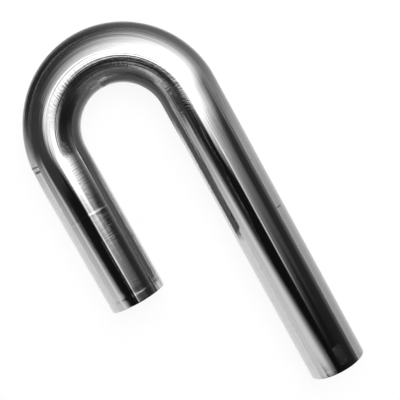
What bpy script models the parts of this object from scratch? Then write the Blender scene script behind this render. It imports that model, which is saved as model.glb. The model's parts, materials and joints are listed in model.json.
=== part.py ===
# A stainless steel return bend: one length of round tube, bent through half a turn round a die,
# with a short leg and a long leg. It lies on its side, as it rests on a bench.
#
# Metres, +Z up. The bend lies level. The legs run along Y and the crown of the bend points to +Y,
# with the short leg at -X. The origin is under the middle of the part's box, at the bench.

from math import ceil, cos, pi, radians, sin

import bmesh
import bpy
from mathutils import Matrix, Vector

# Tube stock
TUBE_OD = 0.05715
WALL = 0.00165

# The bend, measured to the tube's centre line
BEND_RADIUS = 0.06985
BEND_ANGLE = radians(180)

# The straight legs, from the end of the bend to the saw cut
SHORT_LEG = 0.1524
LONG_LEG = 0.3048

# Bending stretches the wall thin on the outside of the bend and crowds it thick on the inside.
# The change starts WALL_CHANGE before each end of the bend and is complete as far past it.
OUTSIDE_WALL = 0.00132
INSIDE_WALL = 0.00205
WALL_CHANGE = radians(12)

# The outside of the bend is a little flat where the tube first turns away from the short leg.
# The flat starts on the leg, is deepest at FLAT_PEAK and has gone by FLAT_END.
FLAT_DEPTH = 0.0019
FLAT_LEAD_IN = 0.024
FLAT_PEAK = radians(32)
FLAT_END = radians(104)

# The sharp edges of the saw cuts are broken
EDGE_BREAK = 0.0003

# How finely the round forms are divided
SIDES = 48
BEND_STEP = radians(5)
LEG_STEP = 0.006
SHARP_ANGLE = radians(60)

# Polished stainless steel
STEEL_COLOUR = (0.56, 0.56, 0.56, 1.0)
STEEL_ROUGHNESS = 0.12


def clear_scene():
    for obj in list(bpy.data.objects):
        bpy.data.objects.remove(obj, do_unlink=True)


def polished_steel():
    material = bpy.data.materials.new("polished_stainless")
    material.use_nodes = True
    shader = material.node_tree.nodes["Principled BSDF"]
    shader.inputs["Base Color"].default_value = STEEL_COLOUR
    shader.inputs["Metallic"].default_value = 1.0
    shader.inputs["Roughness"].default_value = STEEL_ROUGHNESS
    return material


def smooth_step(start, end, value):
    """0 before start, 1 past end, and a smooth rise between them."""
    share = min(1.0, max(0.0, (value - start) / (end - start)))
    return share * share * (3 - 2 * share)


def held_turn(turn):
    """The part of a turn that lies on the bend itself, and not on a leg."""
    return min(BEND_ANGLE, max(0.0, turn))


def outward_way(turn):
    """The level direction from the centre line to the outside of the bend, at one turn round it."""
    held = held_turn(turn)
    return Vector((-cos(held), sin(held), 0))


def ring_place(turn):
    """Where the ring at one turn lies: a distance along its leg, then turned round the bend's axis."""
    held = held_turn(turn)
    along_leg = (turn - held) * BEND_RADIUS
    return Matrix.Rotation(-held, 4, "Z") @ Matrix.Translation((-BEND_RADIUS, along_leg, 0))


def leg_rings(length, changing):
    """How far from the bend a leg has its rings: closely where its section changes, and at its cut."""
    close_stretch = min(length, changing)
    count = ceil(close_stretch / LEG_STEP)
    rings = [close_stretch * ring / count for ring in range(1, count + 1)]
    if length > close_stretch:
        rings.append(length)
    return rings


def ring_turns():
    """The turn of every ring, from the short leg's cut to the long leg's."""
    wall_stretch = WALL_CHANGE * BEND_RADIUS
    short_leg = leg_rings(SHORT_LEG, max(wall_stretch, FLAT_LEAD_IN))
    long_leg = leg_rings(LONG_LEG, wall_stretch)
    steps = ceil(BEND_ANGLE / BEND_STEP - 1e-6)
    turns = [-distance / BEND_RADIUS for distance in reversed(short_leg)]
    turns += [BEND_ANGLE * step / steps for step in range(steps + 1)]
    turns += [BEND_ANGLE + distance / BEND_RADIUS for distance in long_leg]
    return turns


class TubeSkin:
    """The outside of the tube, drawn ring by ring from the short leg's cut to the long leg's.

    Each vertex keeps two marks. "turn" is its angle round the bend from the short leg's tangent,
    below 0 on the short leg and above BEND_ANGLE on the long one, as if the legs went on at the
    bend's radius. "outward" is 1 on the outside of the bend, 0 at the sides and -1 on the inside.
    """

    def __init__(self, turns):
        self.bm = bmesh.new()
        self.turn = self.bm.verts.layers.float.new("turn")
        self.outward = self.bm.verts.layers.float.new("outward")
        self.place = ring_place(turns[0])
        upright = Matrix.Rotation(pi / 2, 4, "X")
        bmesh.ops.create_circle(
            self.bm, segments=SIDES, radius=TUBE_OD / 2, matrix=self.place @ upright
        )
        for vert in self.bm.verts:
            vert[self.turn] = turns[0]
            vert[self.outward] = -(self.place.inverted() @ vert.co).x / (TUBE_OD / 2)
        self.ring = list(self.bm.edges)
        for turn in turns[1:]:
            self.draw_on(turn)

    def draw_on(self, turn):
        """Extrudes the last ring, and moves the new one to its place at this turn."""
        made = bmesh.ops.extrude_edge_only(self.bm, edges=self.ring)["geom"]
        self.ring = [item for item in made if isinstance(item, bmesh.types.BMEdge)]
        verts = [item for item in made if isinstance(item, bmesh.types.BMVert)]
        move = ring_place(turn) @ self.place.inverted()
        bmesh.ops.transform(self.bm, matrix=move, verts=verts)
        for vert in verts:
            vert[self.turn] = turn
        self.place = ring_place(turn)

    def flatten_outside(self):
        for vert in self.bm.verts:
            turn = vert[self.turn]
            rise = smooth_step(-FLAT_LEAD_IN / BEND_RADIUS, FLAT_PEAK, turn)
            fall = 1 - smooth_step(FLAT_PEAK, FLAT_END, turn)
            lobe = max(0.0, vert[self.outward]) ** 2
            vert.co -= outward_way(turn) * FLAT_DEPTH * rise * fall * lobe

    def wall_at(self, vert):
        """The wall that bending leaves. It keeps its thickness at the sides of the bend."""
        turn = vert[self.turn]
        outward = vert[self.outward]
        entering = smooth_step(-WALL_CHANGE, WALL_CHANGE, turn)
        leaving = smooth_step(BEND_ANGLE - WALL_CHANGE, BEND_ANGLE + WALL_CHANGE, turn)
        bent_wall = OUTSIDE_WALL if outward > 0 else INSIDE_WALL
        return WALL + (bent_wall - WALL) * (entering - leaving) * abs(outward)


def base_centre(mesh):
    """The middle of the mesh's box in plan, at its lowest point."""
    xs, ys, zs = zip(*(vert.co for vert in mesh.vertices))
    return Vector(((min(xs) + max(xs)) / 2, (min(ys) + max(ys)) / 2, min(zs)))


def make_return_bend(collection):
    skin = TubeSkin(ring_turns())
    thickest = max(WALL, OUTSIDE_WALL, INSIDE_WALL)
    share_of_wall = skin.bm.verts.layers.deform.verify()
    for vert in skin.bm.verts:
        vert[share_of_wall][0] = skin.wall_at(vert) / thickest
    skin.flatten_outside()
    bmesh.ops.recalc_face_normals(skin.bm, faces=list(skin.bm.faces))

    mesh = bpy.data.meshes.new("return_bend")
    skin.bm.to_mesh(mesh)
    skin.bm.free()
    mesh.shade_smooth()
    mesh.materials.append(polished_steel())
    tube = bpy.data.objects.new("return_bend", mesh)
    collection.objects.link(tube)
    tube.location = -base_centre(mesh)

    # The wall grows inwards from the skin, as thick at each vertex as its share says
    wall_group = tube.vertex_groups.new(name="share_of_wall")
    wall = tube.modifiers.new("wall", "SOLIDIFY")
    wall.thickness = thickest
    wall.offset = -1
    wall.use_even_offset = True
    wall.vertex_group = wall_group.name

    edge_break = tube.modifiers.new("edge_break", "BEVEL")
    edge_break.width = EDGE_BREAK
    edge_break.segments = 1
    edge_break.limit_method = "ANGLE"
    edge_break.angle_limit = SHARP_ANGLE
    edge_break.harden_normals = True
    return tube


def main():
    clear_scene()
    collection = bpy.data.collections.new("return_bend")
    bpy.context.scene.collection.children.link(collection)
    make_return_bend(collection)


main()
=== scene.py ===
# %% [markdown]
# # A polished steel return bend
#
# The object is one length of welded round stainless steel tube. A mandrel bender drew it through
# half a turn and left a short leg and a long leg, and a belt polished it bright. This lesson makes
# the fine surface of that tube, its finish, and the studio that it lies in. The packed CAD model
# gives nearly every size, so it's loaded first.

# %% Load the packed model
import json
from math import ceil, cos, pi, radians, sin

import bmesh
import bpy
from mathutils import Matrix, Vector, noise


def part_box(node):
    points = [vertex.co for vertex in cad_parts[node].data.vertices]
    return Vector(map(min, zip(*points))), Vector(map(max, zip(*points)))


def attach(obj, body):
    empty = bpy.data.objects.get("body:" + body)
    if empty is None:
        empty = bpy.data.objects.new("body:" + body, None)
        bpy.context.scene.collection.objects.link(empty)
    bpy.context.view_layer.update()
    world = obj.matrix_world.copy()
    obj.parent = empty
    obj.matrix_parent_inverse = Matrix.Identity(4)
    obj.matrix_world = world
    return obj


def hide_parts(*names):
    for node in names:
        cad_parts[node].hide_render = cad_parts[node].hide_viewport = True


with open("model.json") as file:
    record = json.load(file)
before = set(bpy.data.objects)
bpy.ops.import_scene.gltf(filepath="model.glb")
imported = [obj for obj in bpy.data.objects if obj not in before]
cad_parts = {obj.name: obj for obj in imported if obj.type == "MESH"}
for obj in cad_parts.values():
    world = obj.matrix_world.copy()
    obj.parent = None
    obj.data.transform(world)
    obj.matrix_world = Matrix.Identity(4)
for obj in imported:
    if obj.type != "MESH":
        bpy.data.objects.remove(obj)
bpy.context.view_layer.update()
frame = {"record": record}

# %% [markdown]
# ## Sizes
#
# The bend lies on its side, so the box of its node gives the tube's radius (half the height) and
# the bend's radius (half the width, less the tube). The record's mounts say where the two saw cuts
# are. Only the legs' lengths and the wall are written here, as the tube's drawing gives them.

# %% Read the sizes
node_low, node_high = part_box("return_bend")
cut_points = {mount["name"]: Vector(mount["pos_m"]) for mount in frame["record"]["mounts"]}
TUBE_RADIUS = (node_high.z - node_low.z) / 2
BEND_RADIUS = node_high.x - TUBE_RADIUS
BEND_ANGLE = radians(180)
SHORT_LEG = 0.1524
LONG_LEG = 0.3048
LEG_WALL = 0.00165
bend_length = BEND_ANGLE * BEND_RADIUS
bend_centre = Vector((0, cut_points["short_leg_end"].y + SHORT_LEG, TUBE_RADIUS))
long_leg_slip = bend_centre.y - LONG_LEG - cut_points["long_leg_end"].y
print("tube radius", TUBE_RADIUS, "bend radius", BEND_RADIUS, "slip", round(long_leg_slip, 6))

# %% [markdown]
# ## The camera
#
# The picture looks almost straight down on the bend, through a long lens, with the legs running to
# the lower right. It's easiest to say how the bend lies in front of the camera: how it is turned,
# and where its centre is. The camera's own matrix is then the inverse of that.

# %% Place the camera
LENS = 78.12
SENSOR_WIDTH = 36
VIEW_TURN = radians(28.79)
VIEW_ROLL = radians(0.62)
VIEW_PITCH = radians(6.69)
CENTRE_IN_VIEW = Vector((-0.07234, 0.07054, -0.82868))


def place_camera():
    lens = bpy.data.cameras.new("camera")
    lens.lens = LENS
    lens.sensor_width = SENSOR_WIDTH
    lens.clip_end = 20
    camera = bpy.data.objects.new("camera", lens)
    bpy.context.scene.collection.objects.link(camera)
    pitch = Matrix.Rotation(VIEW_PITCH, 4, "X")
    roll = Matrix.Rotation(VIEW_ROLL, 4, "Y")
    turn = Matrix.Rotation(VIEW_TURN, 4, "Z")
    into_view = Matrix.Translation(CENTRE_IN_VIEW) @ pitch @ roll @ turn
    camera.matrix_world = (into_view @ Matrix.Translation(-bend_centre)).inverted()
    bpy.context.scene.camera = camera
    return camera


camera = place_camera()
bpy.context.scene.view_settings.view_transform = "Standard"
print("camera at", [round(number, 4) for number in camera.location])

# %% [markdown]
# ## One line for the whole tube
#
# A straight tube that is bent keeps the length of its centre line. So every place on the tube is
# named by how far along that line it is, from the short leg's tangent, and by how far round the
# tube it is, from the outside of the bend over the top. The same two numbers place the mesh, the
# marks on it and the finish.

# %% Follow the centre line
SHORT_CUT = -SHORT_LEG
LONG_CUT = bend_length + LONG_LEG


def smooth_step(start, end, value):
    """0 before start, 1 past end, and a smooth rise between them."""
    share = min(1.0, max(0.0, (value - start) / (end - start)))
    return share * share * (3 - 2 * share)


def place_along(along):
    """Where the tube's section lies: Y runs on along the tube and -X points out of the bend."""
    held = min(bend_length, max(0.0, along))
    turn = Matrix.Rotation(-held / BEND_RADIUS, 4, "Z")
    return Matrix.Translation(bend_centre) @ turn @ Matrix.Translation((-BEND_RADIUS, along - held, 0))


print("from", SHORT_CUT, "to", round(LONG_CUT, 4))

# %% [markdown]
# ## What bending does to the section
#
# The outside of the bend is stretched, so its wall goes thin and it sits a little flat where the
# tube first leaves the short leg. The inside is crowded, so its wall goes thick. These are the
# same formulas as the CAD model's, because the fine mesh has to lie in the solid's place.

# %% Shape the section
OUTSIDE_WALL = 0.00132
INSIDE_WALL = 0.00205
WALL_CHANGE = radians(12) * BEND_RADIUS
FLAT_DEPTH = 0.0019
FLAT_LEAD_IN = 0.024
FLAT_PEAK = radians(32) * BEND_RADIUS
FLAT_END = radians(104) * BEND_RADIUS


def flat_at(along, outward):
    """How far the outside of the bend lies inside a true arc."""
    rise = smooth_step(-FLAT_LEAD_IN, FLAT_PEAK, along)
    fall = 1 - smooth_step(FLAT_PEAK, FLAT_END, along)
    return FLAT_DEPTH * rise * fall * max(0.0, outward) ** 2


def wall_at(along, outward):
    entering = smooth_step(-WALL_CHANGE, WALL_CHANGE, along)
    leaving = smooth_step(bend_length - WALL_CHANGE, bend_length + WALL_CHANGE, along)
    bent_wall = OUTSIDE_WALL if outward > 0 else INSIDE_WALL
    return LEG_WALL + (bent_wall - LEG_WALL) * (entering - leaving) * abs(outward)


print("wall outside the crown", wall_at(bend_length / 2, 1), "inside", wall_at(bend_length / 2, -1))

# %% [markdown]
# ## Small marks of the work
#
# The polished skin isn't a perfect cylinder. The clamp rolled a groove of a hair's depth near each
# end, and left the end tapering a little to the cut. A faint ring stands round the short leg where
# the belt stopped, and the belt left long shallow waves. They are far too small to change an
# outline, but a mirror finish shows them at once, as a step or a wobble in what it reflects. They
# are real dents in the mesh.

# %% Dent the skin
END_BANDS = {SHORT_CUT: 0.0090, LONG_CUT: 0.0045}
END_GROOVE = {SHORT_CUT: 0.00012, LONG_CUT: 0.00001}
END_TAPER = {SHORT_CUT: 0.016, LONG_CUT: 0.003}
END_STEP = 0.0010
END_RUN = 0.0080
BELT_RING = -0.0578
BELT_RING_WIDTH = 0.0022
BELT_RING_HEIGHT = 0.00004
WAVE_DEPTH = 0.00004
WAVE_LENGTH = 0.045


def relief_at(along, around):
    """How far the skin lies below the true tube, in metres."""
    depth = BELT_RING_HEIGHT * smooth_step(0, BELT_RING_WIDTH, abs(along - BELT_RING))
    for cut, width in END_BANDS.items():
        from_cut = abs(along - cut)
        sinking = 1 - smooth_step(width + END_STEP, width + END_RUN, from_cut)
        rising = smooth_step(width - END_STEP, width + END_STEP, from_cut)
        depth += END_GROOVE[cut] * sinking * rising
        depth += END_TAPER[cut] * max(0.0, width - from_cut)
    place = Vector((cos(around) * TUBE_RADIUS, along, sin(around) * TUBE_RADIUS))
    wave = noise.noise(place / WAVE_LENGTH)
    return depth + WAVE_DEPTH * (1 + wave)


print("relief half way down the long leg", round(relief_at(LONG_CUT - LONG_LEG / 2, 1), 6))

# %% [markdown]
# ## The rings
#
# The mesh is drawn as rings: out along the skin from the short cut to the long one, over the long
# cut's broken edges, back through the bore, and over the short cut's edges to the first ring. The
# rings stand close where something changes. A ring is three numbers: its place along the tube,
# how much of the wall it is sunk by, and how far an edge break moves it besides.

# %% List the rings
SIDES = 96
LEG_STEP = 0.0028
END_RING_STEP = 0.0006
BEND_STEP = radians(2)
BORE_STEP = 0.009
BORE_BEND_STEP = radians(4)
EDGE_BREAK = 0.0003
EDGE_STEPS = 3
ROUNDING = 1e-6


def evenly(start, end, step):
    """Places from start to end, both included, at most a step apart."""
    count = ceil(abs(end - start) / step - ROUNDING)
    return [start + (end - start) * place / count for place in range(count + 1)]


def skin_stations():
    short_band = SHORT_CUT + END_BANDS[SHORT_CUT] + END_RUN
    long_band = LONG_CUT - END_BANDS[LONG_CUT] - END_RUN
    places = evenly(SHORT_CUT + EDGE_BREAK, short_band, END_RING_STEP)
    places += evenly(short_band, BELT_RING - BELT_RING_WIDTH, LEG_STEP)[1:]
    places += evenly(BELT_RING - BELT_RING_WIDTH, BELT_RING + BELT_RING_WIDTH, END_RING_STEP)[1:]
    places += evenly(BELT_RING + BELT_RING_WIDTH, 0, LEG_STEP)[1:]
    places += evenly(0, bend_length, BEND_STEP * BEND_RADIUS)[1:]
    places += evenly(bend_length, long_band, LEG_STEP)[1:]
    places += evenly(long_band, LONG_CUT - EDGE_BREAK, END_RING_STEP)[1:]
    return places


def bore_stations():
    places = evenly(LONG_CUT - EDGE_BREAK, bend_length, BORE_STEP)
    places += evenly(bend_length, 0, BORE_BEND_STEP * BEND_RADIUS)[1:]
    places += evenly(0, SHORT_CUT + EDGE_BREAK, BORE_STEP)[1:]
    return places


def broken_edge(cut, inward, share):
    """The rings of one rounded edge of a cut. inward is the way into the tube along its line."""
    rings = []
    for step in range(1, EDGE_STEPS + 1):
        angle = radians(90) * step / EDGE_STEPS
        along = cut + inward * EDGE_BREAK * (1 - sin(angle))
        sunk = EDGE_BREAK * (1 - cos(angle))
        rings.append((along, share, sunk if share == 0 else -sunk))
    return rings


def all_rings():
    rings = [(along, 0, 0) for along in skin_stations()]
    rings += broken_edge(LONG_CUT, -1, 0) + list(reversed(broken_edge(LONG_CUT, -1, 1)))
    rings += [(along, 1, 0) for along in bore_stations()]
    rings += broken_edge(SHORT_CUT, 1, 1) + list(reversed(broken_edge(SHORT_CUT, 1, 0)))
    return rings


print(len(all_rings()), "rings of", SIDES)

# %% [markdown]
# ## The mesh
#
# Each vertex also keeps where it would be if the tube were still straight. A finish that is laid
# out on the straight tube then bends with it, as real polishing marks do. The bore gets a second
# material, because no belt reaches in there.

# %% Draw the tube


def draw_ring(bm, unbent, along, share, sunk):
    place = place_along(along)
    ring = []
    for side in range(SIDES):
        around = 2 * pi * side / SIDES
        outward = cos(around)
        depth = share * wall_at(along, outward) + sunk
        if share == 0:
            depth += relief_at(along, around)
        radius = TUBE_RADIUS - depth
        across = flat_at(along, outward) - outward * radius
        vert = bm.verts.new(place @ Vector((across, 0, sin(around) * radius)))
        vert[unbent] = Vector((-outward * TUBE_RADIUS, along, sin(around) * TUBE_RADIUS))
        ring.append(vert)
    return ring


def draw_tube(name):
    bm = bmesh.new()
    unbent = bm.verts.layers.float_vector.new("unbent")
    rings = all_rings()
    drawn = [draw_ring(bm, unbent, *ring) for ring in rings]
    for index, ring in enumerate(drawn):
        following = drawn[(index + 1) % len(drawn)]
        in_bore = rings[index][1] == 1 and rings[(index + 1) % len(rings)][1] == 1
        for side in range(SIDES):
            beside = (side + 1) % SIDES
            face = bm.faces.new((ring[side], ring[beside], following[beside], following[side]))
            face.smooth = True
            face.material_index = int(in_bore)
    bmesh.ops.recalc_face_normals(bm, faces=list(bm.faces))
    mesh = bpy.data.meshes.new(name)
    bm.to_mesh(mesh)
    bm.free()
    tube = bpy.data.objects.new(name, mesh)
    bpy.context.scene.collection.objects.link(tube)
    return tube


tube = draw_tube("polished_return_bend")
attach(tube, "root")
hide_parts("return_bend")
print(tube.name, len(tube.data.vertices), "vertices", 2 * len(tube.data.polygons), "triangles")

# %% [markdown]
# ## Sums on a surface
#
# A material's nodes do sums at every point of a surface. Written as nodes they are hard to read, so
# a small class wraps a node's output and lets Python's own operators add the Math nodes: `1 - mask`
# then means what it says. Every other node comes from its one method, node.

# %% Wrap a socket


class Signal:
    """An output of a material's node, which can be used in sums."""

    def __init__(self, tree, socket=None):
        self.tree = tree
        self.socket = socket

    def node(self, kind, settings, sockets, output=0):
        """Adds a node: its settings are set first, then its sockets get values or links."""
        made = self.tree.nodes.new(kind)
        for name, value in settings.items():
            setattr(made, name, value)
        for name, value in sockets.items():
            if isinstance(value, Signal):
                self.tree.links.new(value.socket, made.inputs[name])
            else:
                made.inputs[name].default_value = value
        return Signal(self.tree, made.outputs[output] if made.outputs else None)

    def maths(self, operation, first, second=0.0):
        return self.node("ShaderNodeMath", {"operation": operation}, {0: first, 1: second})

    def __add__(self, other):
        return self.maths("ADD", self, other)

    def __radd__(self, other):
        return self.maths("ADD", other, self)

    def __sub__(self, other):
        return self.maths("SUBTRACT", self, other)

    def __rsub__(self, other):
        return self.maths("SUBTRACT", other, self)

    def __mul__(self, other):
        return self.maths("MULTIPLY", self, other)

    def __rmul__(self, other):
        return self.maths("MULTIPLY", other, self)

    def __abs__(self):
        return self.maths("ABSOLUTE", self)

    def __pow__(self, other):
        return self.maths("POWER", self, other)

    def above(self, start, end):
        """0 below start, 1 past end, with a smooth rise between them."""
        return self.node(
            "ShaderNodeMapRange",
            {"interpolation_type": "SMOOTHSTEP"},
            {"Value": self, "From Min": start, "From Max": end, "To Min": 0.0, "To Max": 1.0},
        )

    def between(self, rise, fall):
        """0 before the rise, 1 after it, and 0 again past the fall. Each has a start and an end."""
        return self.above(*rise) * (1 - self.above(*fall))


print("a signal has", [name for name in vars(Signal) if not name.startswith("_")])

# %% [markdown]
# Four things come up again and again: a new material with nothing in it, a mask that leaves some
# share everywhere, a kind of ray to answer to, and the end of every metal.

# %% Make the common parts
FULLY_METAL = 1.0


def empty_material(name):
    """A material with only its output, and a signal to start its nodes from."""
    material = bpy.data.materials.new(name)
    material.use_nodes = True
    material.node_tree.nodes.clear()
    return material, Signal(material.node_tree)


def from_share(share, mask):
    """The share where the mask is 0, and 1 where it is 1."""
    return share + (1 - share) * mask


def ray_kinds(start):
    """Three signals: 1 on the camera's own rays, in reflections, and through glass."""
    kinds = ["Is Camera Ray", "Is Glossy Ray", "Is Transmission Ray"]
    return [start.node("ShaderNodeLightPath", {}, {}, kind) for kind in kinds]


def finish_metal(start, colour, roughness, height, height_unit):
    """Ends a metal's nodes: a bump of that height, in that unit, under a plain metal."""
    bump = start.node(
        "ShaderNodeBump", {}, {"Strength": 1.0, "Distance": height_unit, "Height": height}
    )
    shader = start.node(
        "ShaderNodeBsdfPrincipled",
        {},
        {"Base Color": colour, "Metallic": FULLY_METAL, "Roughness": roughness, "Normal": bump},
    )
    start.node("ShaderNodeOutputMaterial", {}, {"Surface": shader})


print("a mask of 0 and of 1 gives", from_share(0.25, 0), "and", from_share(0.25, 1))

# %% [markdown]
# ## The polished skin
#
# Stainless steel reflects a little over half of the light, with no colour of its own. A tube
# polisher runs a belt round the straight tube, so on the legs its fine lines run round, deepest on
# the short leg. The mandrel bender then drags the skin over its tools, which leaves long lines
# along the tube on the bend, and short slanting chatter marks. A few hairline scratches run along
# the legs. All of these are finer than a mesh could hold, so they are a bump, in millimetres.
#
# A grain is how many features there are in a metre, across the tube and along it.

# %% Lay lines on the unbent tube
CHATTER_ROUND = 130
CHATTER_ALONG = 480
SLANT_ROUND = 60
SLANT_ALONG = 150
PLAIN_DETAIL = 2.0


def unbent_place(start):
    return start.node("ShaderNodeAttribute", {"attribute_name": "unbent"}, {}, "Vector")


def one_axis(start, place, axis):
    return start.node("ShaderNodeSeparateXYZ", {}, {"Vector": place}, axis)


def stretched_noise(start, place, grain, detail=PLAIN_DETAIL):
    """Noise on the unbent tube, with so many features a metre across it and along it."""
    across, along = grain
    stretched = start.node(
        "ShaderNodeVectorMath", {"operation": "MULTIPLY"}, {0: place, 1: (across, along, across)}
    )
    return start.node(
        "ShaderNodeTexNoise", {}, {"Vector": stretched, "Scale": 1.0, "Detail": detail}
    )


def slanted_noise(start, around, along):
    """Noise in short streaks that slant across the tube's lines."""
    x = around * CHATTER_ROUND + along * SLANT_ROUND
    y = along * CHATTER_ALONG - around * SLANT_ALONG
    slant = start.node("ShaderNodeCombineXYZ", {}, {"X": x, "Y": y})
    return start.node("ShaderNodeTexNoise", {}, {"Vector": slant, "Scale": 1.0, "Detail": PLAIN_DETAIL})


print("chatter marks stand", round(1000 / CHATTER_ALONG, 2), "mm apart")

# %% [markdown]
# Each kind of line is deepest somewhere. A range below is where a treatment comes in or goes out,
# in metres: along the tube, or from its middle towards the inner side of the bend.

# %% Cut the fine lines
BEND_START = (-0.012, 0.012)
BEND_END = (bend_length - 0.01, bend_length + 0.03)
SHORT_LEG_END = (-0.01, 0.01)

BELT_DEPTH = 0.06
BELT_GRAIN = (70, 760)
SHORT_BELT_GRAIN = (380, 700)
SHORT_BELT_SHARE = 0.5
BELT_RING_EDGE = (BELT_RING - 0.002, BELT_RING + 0.002)
BELT_INNER_SIDE = (0.002, 0.010)
BELT_PAST_RING = 0.35
BELT_OUTER_SIDE = 0.3
BELT_LONG_LEG = 0.15
BELT_LOST_ON_BEND = 0.9

DRAG_DEPTH = 0.30
DRAG_GRAIN = (420, 7)
DRAG_START = (-0.004, 0.02)
DRAG_END = (bend_length, bend_length + 0.13)
DRAG_ON_LEGS = 0.06

CHATTER_DEPTH = 0.20
CHATTER_START = (0.03, 0.07)
CHATTER_MIDDLE_EDGE = (-0.003, 0.004)
CHATTER_INNER_EDGE = (0.015, 0.021)

SCRATCH_DEPTH = 0.03
SCRATCH_GRAIN = (700, 4)
SCRATCH_LEVELS = (0.64, 0.70)


def belt_lines(start, place, side, along, on_bend):
    """Lines round the tube: deepest on the inner side of the short leg, from its cut to the ring."""
    lines = stretched_noise(start, place, BELT_GRAIN)
    lines = lines + SHORT_BELT_SHARE * stretched_noise(start, place, SHORT_BELT_GRAIN)
    before_ring = 1 - along.above(*BELT_RING_EDGE)
    on_short_leg = 1 - along.above(*SHORT_LEG_END)
    most_belted = from_share(BELT_PAST_RING, before_ring)
    most_belted = most_belted * from_share(BELT_OUTER_SIDE, side.above(*BELT_INNER_SIDE))
    depth = BELT_DEPTH * from_share(BELT_LONG_LEG, on_short_leg * most_belted)
    return lines * depth * (1 - BELT_LOST_ON_BEND * on_bend)


def drag_lines(start, place, along):
    """Long lines along the tube: deepest on the bend, and fading out down the long leg."""
    dragged = along.between(DRAG_START, DRAG_END)
    return stretched_noise(start, place, DRAG_GRAIN) * (DRAG_DEPTH * from_share(DRAG_ON_LEGS, dragged))


def chatter_marks(start, around, along, side, on_bend):
    """Short slanting marks in a band on the inner half of the bend."""
    chattered = along.above(*CHATTER_START) * side.between(CHATTER_MIDDLE_EDGE, CHATTER_INNER_EDGE)
    return slanted_noise(start, around, along) * (CHATTER_DEPTH * on_bend * chattered)


def scratches(start, place):
    return stretched_noise(start, place, SCRATCH_GRAIN).above(*SCRATCH_LEVELS) * SCRATCH_DEPTH


print("lines up to", BELT_DEPTH, "mm,", DRAG_DEPTH, "mm and", CHATTER_DEPTH, "mm deep")

# %% [markdown]
# ## Marks of the tools
#
# Where the short leg meets the bend, the clamp of the bending die left two short scores and a
# rubbed patch. A shorter score and a dulled patch are on the long leg. Each mark is an area of the
# unbent tube: so far along it, and so far round it from the inner side, measured on the skin.

# %% Place the tool marks
SCORES = [
    (0.0046, 0.0003, 0.0640, 0.0880),
    (0.0008, 0.0006, 0.0640, 0.0750),
    (0.3560, 0.0003, 0.0675, 0.0745),
]
RUBBED = [(0.0090, 0.0090, 0.0276, 0.0348)]
DULLED = [(0.5085, 0.0095, 0.0470, 0.0560)]
MARK_EDGE = 0.0006
MARK_END = 0.0012


def mark_mask(along, around, areas):
    """0 to 1 on the areas (middle and half width along the tube, first and last place round it)."""
    masks = []
    for middle, half_width, first, last in areas:
        wide = 1 - abs(along - middle).above(half_width, half_width + MARK_EDGE)
        rise, fall = [(place - MARK_END, place + MARK_END) for place in (first, last)]
        masks.append(wide * around.between(rise, fall))
    return sum(masks[1:], masks[0])


print(len(SCORES), "scores,", len(RUBBED), "rubbed patch and", len(DULLED), "dulled patch")

# %% [markdown]
# The scores and the rubbed patch are rough and a little darker, and sunk by a hair. The dulled
# patch is only rougher. Faint clouds in the roughness stand for how uneven a hand polish is.

# %% Polish the steel
STEEL_COLOUR = (0.58, 0.58, 0.58, 1.0)
WORN_COLOUR = (0.2, 0.2, 0.2, 1.0)
STEEL_ROUGHNESS = 0.035
BEND_ROUGHNESS = 0.09
CLOUD_ROUGHNESS = 0.05
WORN_ROUGHNESS = 0.35
DULLED_ROUGHNESS = 0.24
WORN_DEPTH = 0.03
SPECK_GRAIN = (600, 400)
SPECK_LEVELS = (0.54, 0.62)
DULLED_GRAIN = (900, 260)
CLOUD_GRAIN = (45, 45)
FINE_DETAIL = 4.0
MILLIMETRE = 0.001


def polished_steel():
    material, start = empty_material("polished_stainless")
    place = unbent_place(start)
    side, along, up = [one_axis(start, place, axis) for axis in "XYZ"]
    around = start.maths("ARCTAN2", up, side) * TUBE_RADIUS
    on_bend = along.between(BEND_START, BEND_END)

    specks = stretched_noise(start, place, SPECK_GRAIN, FINE_DETAIL).above(*SPECK_LEVELS)
    worn = mark_mask(along, around, SCORES) + mark_mask(along, around, RUBBED) * specks
    height = (
        belt_lines(start, place, side, along, on_bend)
        + drag_lines(start, place, along)
        + chatter_marks(start, around, along, side, on_bend)
        - scratches(start, place)
        - WORN_DEPTH * worn
    )
    dulling = stretched_noise(start, place, DULLED_GRAIN, FINE_DETAIL)
    roughness = (
        STEEL_ROUGHNESS
        + BEND_ROUGHNESS * on_bend
        + CLOUD_ROUGHNESS * stretched_noise(start, place, CLOUD_GRAIN, FINE_DETAIL)
        + WORN_ROUGHNESS * worn
        + DULLED_ROUGHNESS * (mark_mask(along, around, DULLED) * dulling)
    )
    colour = start.node(
        "ShaderNodeMix", {"data_type": "RGBA"}, {0: worn, 6: STEEL_COLOUR, 7: WORN_COLOUR}, 2
    )
    finish_metal(start, colour, roughness, height, MILLIMETRE)
    return material


tube.data.materials.append(polished_steel())
print("skin", tube.data.materials[0].name)

# %% [markdown]
# ## The bore
#
# Inside, the tube is as the mill left it: duller and a little darker, with a fine even grain.

# %% Leave the bore as milled
BORE_COLOUR = (0.42, 0.41, 0.40, 1.0)
BORE_ROUGHNESS = 0.30
BORE_GRAIN_ROUGHNESS = 0.15
BORE_GRAIN = (500, 200)
BORE_GRAIN_DEPTH = 0.00002


def mill_finish():
    material, start = empty_material("mill_finish_bore")
    grain = stretched_noise(start, unbent_place(start), BORE_GRAIN)
    roughness = BORE_ROUGHNESS + BORE_GRAIN_ROUGHNESS * grain
    finish_metal(start, BORE_COLOUR, roughness, grain, BORE_GRAIN_DEPTH)
    return material


tube.data.materials.append(mill_finish())
print("materials", [material.name for material in tube.data.materials])

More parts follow.
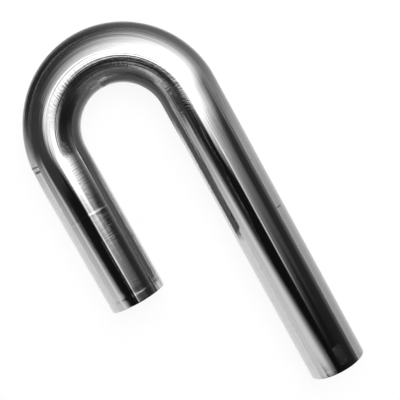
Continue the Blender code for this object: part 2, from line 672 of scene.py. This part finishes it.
# %% [markdown]
# ## What the steel reflects, far away
#
# A mirror shows its surroundings, so a bright tube is lit by what stands round it. Far off there is
# one big window of light, overhead and to the back, that fades to the left and towards the floor.
# In front of its lower edge a lit tip, a veil and a narrow slit reach towards the front, and make
# the bright streaks on the legs. Low lights stand round the horizon, one high light is to the
# right, and a grey curtain hangs low at the front left. The rest of the studio is dark. The camera
# and the matt floor see a plain white world instead, so all this is only in the reflections.
#
# Each edge of a light is a way to look, and how far a direction leans that way (1 is all the way)
# where the light comes up or goes out.

# %% List the far lights
RIGHT = (1, 0, 0)
BACK = (0, 1, 0)
UP = (0, 0, 1)


def level_way(bearing):
    """The level way at a bearing, in degrees round from the right to the back."""
    return (cos(radians(bearing)), sin(radians(bearing)), 0)


BACK_HALF = (-0.009, 1, -0.101), (-0.119, 0.301)
WINDOW_LEFT = level_way(147), (-0.503, 0.836)
WINDOW_FOOT = UP, (-0.108, 1.192)
TIP_LEFT = (1, 0.173, -0.14), (-0.222, 0.078)
TIP_RIGHT = (-0.162, 0.637, 0.179), (-0.077, 0.462)
TIP_FRONT = BACK, (-0.421, -0.354)
VEIL_LEFT = RIGHT, (-0.02, 0.04)
VEIL_RIGHT = RIGHT, (0.5, 1.0)
VEIL_FRONT = BACK, (-0.042, -0.002)
VEIL_FOOT = UP, (0.2, 0.5)
SLIT_LEFT = RIGHT, (0.03, 0.055)
SLIT_RIGHT = RIGHT, (0.08, 0.13)
SLIT_FRONT = BACK, (-0.30, -0.10)
HIGH_LIGHT = Vector((0.518, -0.008, 0.7)).normalized(), (0.956, 1.014)
CURTAIN_SIDE = level_way(245), (0.69, 0.75)
CURTAIN_TOP = UP, (0.3, 0.6)

# Each low light has a level, a side and a top.
LOW_LIGHTS = [
    (1.01, (level_way(230), (0.47, 0.791)), (UP, (0.427, 0.452))),
    (0.08, (level_way(223), (-0.2, 1.02)), (UP, (0.684, 0.854))),
    (0.62, (level_way(21), (0.362, 1.234)), (UP, (-0.16, 0.409))),
    (0.05, (level_way(70), (-0.5, 0.537)), (UP, (0.6, 1.192))),
]
print(len(LOW_LIGHTS), "low lights")

# %% Build the far studio
WORLD_LEVEL = 0.7
DARK_LEVEL = 0.006
WINDOW_LEVEL = 3.73
TIP_LEVEL = 3.02
VEIL_LEVEL = 1.5
SLIT_LEVEL = 1.6
HIGH_LEVEL = 0.19
CURTAIN_LEVEL = 0.162


def far_studio(start, way):
    """The brightness of the far studio in each direction from the bend."""

    def lean(edge):
        """0 to 1, as a direction leans over an edge."""
        towards, rise = edge
        sockets = {0: way, 1: towards}
        dot = start.node("ShaderNodeVectorMath", {"operation": "DOT_PRODUCT"}, sockets, "Value")
        return dot.above(*rise)

    at_back = lean(BACK_HALF)
    window = (1 - lean(WINDOW_LEFT)) * lean(WINDOW_FOOT)
    tip = lean(TIP_LEFT) * lean(TIP_RIGHT) * lean(TIP_FRONT)
    veil = lean(VEIL_LEFT) * (1 - lean(VEIL_RIGHT)) * lean(VEIL_FRONT) * lean(VEIL_FOOT)
    slit = lean(SLIT_LEFT) * (1 - lean(SLIT_RIGHT)) * lean(SLIT_FRONT)
    lit_front = TIP_LEVEL * tip + VEIL_LEVEL * veil + SLIT_LEVEL * slit + HIGH_LEVEL * lean(HIGH_LIGHT)
    far = DARK_LEVEL + WINDOW_LEVEL * window * at_back + lit_front * (1 - at_back)
    for level, side, top in LOW_LIGHTS:
        far = far + level * lean(side) * (1 - lean(top))
    curtain = lean(CURTAIN_SIDE) * (1 - lean(CURTAIN_TOP))
    return far * (1 - curtain) + CURTAIN_LEVEL * curtain


def light_world():
    world = bpy.data.worlds.new("studio")
    world.use_nodes = True
    world.node_tree.nodes.clear()
    start = Signal(world.node_tree)
    on_camera, in_gloss, in_glass = ray_kinds(start)
    way = start.node("ShaderNodeTexCoord", {}, {}, "Generated")
    plain = from_share(WORLD_LEVEL, on_camera + in_glass)
    strength = plain * (1 - in_gloss) + far_studio(start, way) * in_gloss
    background = start.node("ShaderNodeBackground", {}, {"Strength": strength})
    start.node("ShaderNodeOutputWorld", {}, {"Surface": background})
    bpy.context.scene.world = world


light_world()
print("world", WORLD_LEVEL, "window", WINDOW_LEVEL)

# %% [markdown]
# ## What the steel reflects, near by
#
# Nearer things are flat panels, which only reflections see. Two are lit sheets overhead. Shades lie
# just over the floor, as soft shadows, and dark cards stand between the legs, across the gap and
# beside the bend as painted shade, which darkens the reflections there. A panel has straight edges.
# Each edge has a bearing on the sheet, a reach from its centre and a fade.
#
# On a level sheet, bearing 0 is right, 90 back, 180 left and 270 front. On a sheet that stands
# along the legs, 0 is down and 180 up. On one that stands across them, 90 is up and 270 down.

# %% Make a panel
PANEL_SIZE = 4.0
NO_HOLE = (-1.0, 0.5)
LEVEL = (0, 0, 0)
ALONG_LEGS = (0, radians(90), 0)
ACROSS_LEGS = (radians(90), 0, 0)


def flat_sheet(name, size, material):
    """A level square with one material."""
    mesh = bpy.data.meshes.new(name)
    bm = bmesh.new()
    bmesh.ops.create_grid(bm, x_segments=1, y_segments=1, size=size / 2)
    bm.to_mesh(mesh)
    bm.free()
    mesh.materials.append(material)
    sheet = bpy.data.objects.new(name, mesh)
    bpy.context.scene.collection.objects.link(sheet)
    return sheet


def panel_material(name, glow, edges, hole):
    """The lit part of a sheet: within each edge (bearing, reach, fade) and outside the round hole."""
    material, start = empty_material(name)
    place = start.node("ShaderNodeTexCoord", {}, {}, "Object")
    x, y = [one_axis(start, place, axis) for axis in "XY"]
    radius, rim = hole
    mask = ((x * x + y * y) ** 0.5).above(radius, radius + rim)
    for bearing, reach, fade in edges:
        inside = reach - (x * cos(radians(bearing)) + y * sin(radians(bearing)))
        mask = mask * inside.above(0.0, fade)
    light = start.node("ShaderNodeEmission", {}, {"Strength": glow})
    clear = start.node("ShaderNodeBsdfTransparent", {}, {})
    shader = start.node("ShaderNodeMixShader", {}, {0: mask, 1: clear, 2: light})
    start.node("ShaderNodeOutputMaterial", {}, {"Surface": shader})
    return material


def panel(name, centre, glow, edges, hole=NO_HOLE, turned=LEVEL):
    """A sheet through a point that is given from the bend's centre: level, or turned to stand."""
    sheet = flat_sheet(name, PANEL_SIZE, panel_material(name, glow, edges, hole))
    sheet.location = bend_centre + Vector(centre)
    sheet.rotation_euler = turned
    sheet.visible_camera = False
    sheet.visible_diffuse = False
    sheet.visible_transmission = False
    sheet.visible_shadow = False


print("a panel is", PANEL_SIZE, "m square before its edges cut it")

# %% Hang the lit sheets
LIT_SHEETS = [
    ("left_sheet", 0.8, 0.95, [(61, -0.518, 0.434), (283, 0.581, 0.097), (180, 2.0, 0.3)]),
    (
        "overhead_lamp",
        0.43,
        3.63,
        [(239, 0.105, 0.223), (180, 0.245, 0.082), (9, 0.153, 0.082), (90, 0.172, 0.1)],
    ),
]
for name, height, glow, edges in LIT_SHEETS:
    panel(name, (0, 0, height), glow, edges)
print(len(LIT_SHEETS), "lit sheets")

# %% Lay the shades
FLOOR_HEIGHT = -TUBE_RADIUS
LOWEST_SHADE = FLOOR_HEIGHT + 0.0010
SHADE_STEP = 0.0004
SHADES = [
    ("right_shade", 0.54, [(180, -0.05, 0.136), (90, 0.13, 0.049)], NO_HOLE),
    ("back_shade", 0.22, [(263, 0.092, 0.195), (267, 0.1, 0.1)], (0.095, 0.039)),
    ("crown_shade", 0.02, [(255, 0.02, 0.104), (-20, 0.179, 0.384)], (0.133, 0.01)),
    (
        "bend_shade",
        0.25,
        [(0, 0.08, 0.01), (180, 0.035, 0.025), (90, 0.04, 0.03), (270, 0.05, 0.04)],
        NO_HOLE,
    ),
    (
        "short_leg_shade",
        0.25,
        [(0, 0.001, 0.004), (180, 0.035, 0.035), (90, 0.034, 0.083), (270, 0.17, 0.03)],
        NO_HOLE,
    ),
]
for place, (name, glow, edges, hole) in enumerate(SHADES):
    panel(name, (0, 0, LOWEST_SHADE + place * SHADE_STEP), glow, edges, hole)
print(len(SHADES), "shades")

# %% Stand the cards of painted shade
# Painted shade: dim sheets, seen only in reflections, that stand for shadow between the legs, across
# the gap and beside the bend.
PAINTED_SHADE_CARDS = [
    (
        "painted_shade_between_legs",
        (0, 0, 0),
        0.12,
        [(0, 0.036, 0.026), (180, 0.018, 0.012), (90, 0.045, 0.02), (270, 0.160, 0.015)],
        ALONG_LEGS,
    ),
    (
        "painted_shade_across_gap",
        (0, -0.100, 0),
        0.12,
        [(0, 0.026, 0.024), (180, 0.022, 0.006), (90, 0.018, 0.012), (270, 0.036, 0.026)],
        ACROSS_LEGS,
    ),
    (
        "painted_shade_beside_bend",
        (-0.108, 0, 0),
        0.05,
        [(0, -0.038, 0.018), (180, 0.165, 0.03), (90, 0.11, 0.02), (270, 0.040, 0.030)],
        ALONG_LEGS,
    ),
]
for name, centre, glow, edges, turned in PAINTED_SHADE_CARDS:
    panel(name, centre, glow, edges, turned=turned)
print(len(PAINTED_SHADE_CARDS), "cards")

# %% [markdown]
# ## The floor and the lamp
#
# The floor is white paper. It mixes a matt surface, which takes the bend's shadow, with a plain
# white that the camera and the reflections see, so that the background stays white.

# %% Lay the floor
FLOOR_SIZE = 12
SHADOW_SHARE = 0.10
PAPER_COLOUR = (0.9, 0.9, 0.9, 1)


def white_paper():
    material, start = empty_material("white_paper")
    on_camera, in_gloss, in_glass = ray_kinds(start)
    plain = (on_camera + in_gloss + in_glass) * (1 - SHADOW_SHARE)
    matt = start.node("ShaderNodeBsdfDiffuse", {}, {"Color": PAPER_COLOUR})
    white = start.node("ShaderNodeEmission", {}, {"Strength": 1.0})
    shader = start.node("ShaderNodeMixShader", {}, {0: plain, 1: matt, 2: white})
    start.node("ShaderNodeOutputMaterial", {}, {"Surface": shader})
    return material


floor = flat_sheet("floor", FLOOR_SIZE, white_paper())
print("floor", FLOOR_SIZE, "m square")

# %% Hang the lamp
LAMP_SIZE = 1.2
LAMP_PLACE = (0.5, 0.5, 1.6)
LAMP_POWER = 26


def hang_lamp():
    lamp = bpy.data.lights.new("soft_lamp", "AREA")
    lamp.shape = "DISK"
    lamp.size = LAMP_SIZE
    lamp.energy = LAMP_POWER
    hung = bpy.data.objects.new("soft_lamp", lamp)
    hung.location = bend_centre + Vector(LAMP_PLACE)
    hung.rotation_mode = "QUATERNION"
    hung.rotation_quaternion = (hung.location - bend_centre).to_track_quat("Z", "Y")
    hung.visible_glossy = False
    bpy.context.scene.collection.objects.link(hung)


hang_lamp()
print("lamp", LAMP_POWER, "W")

# %% [markdown]
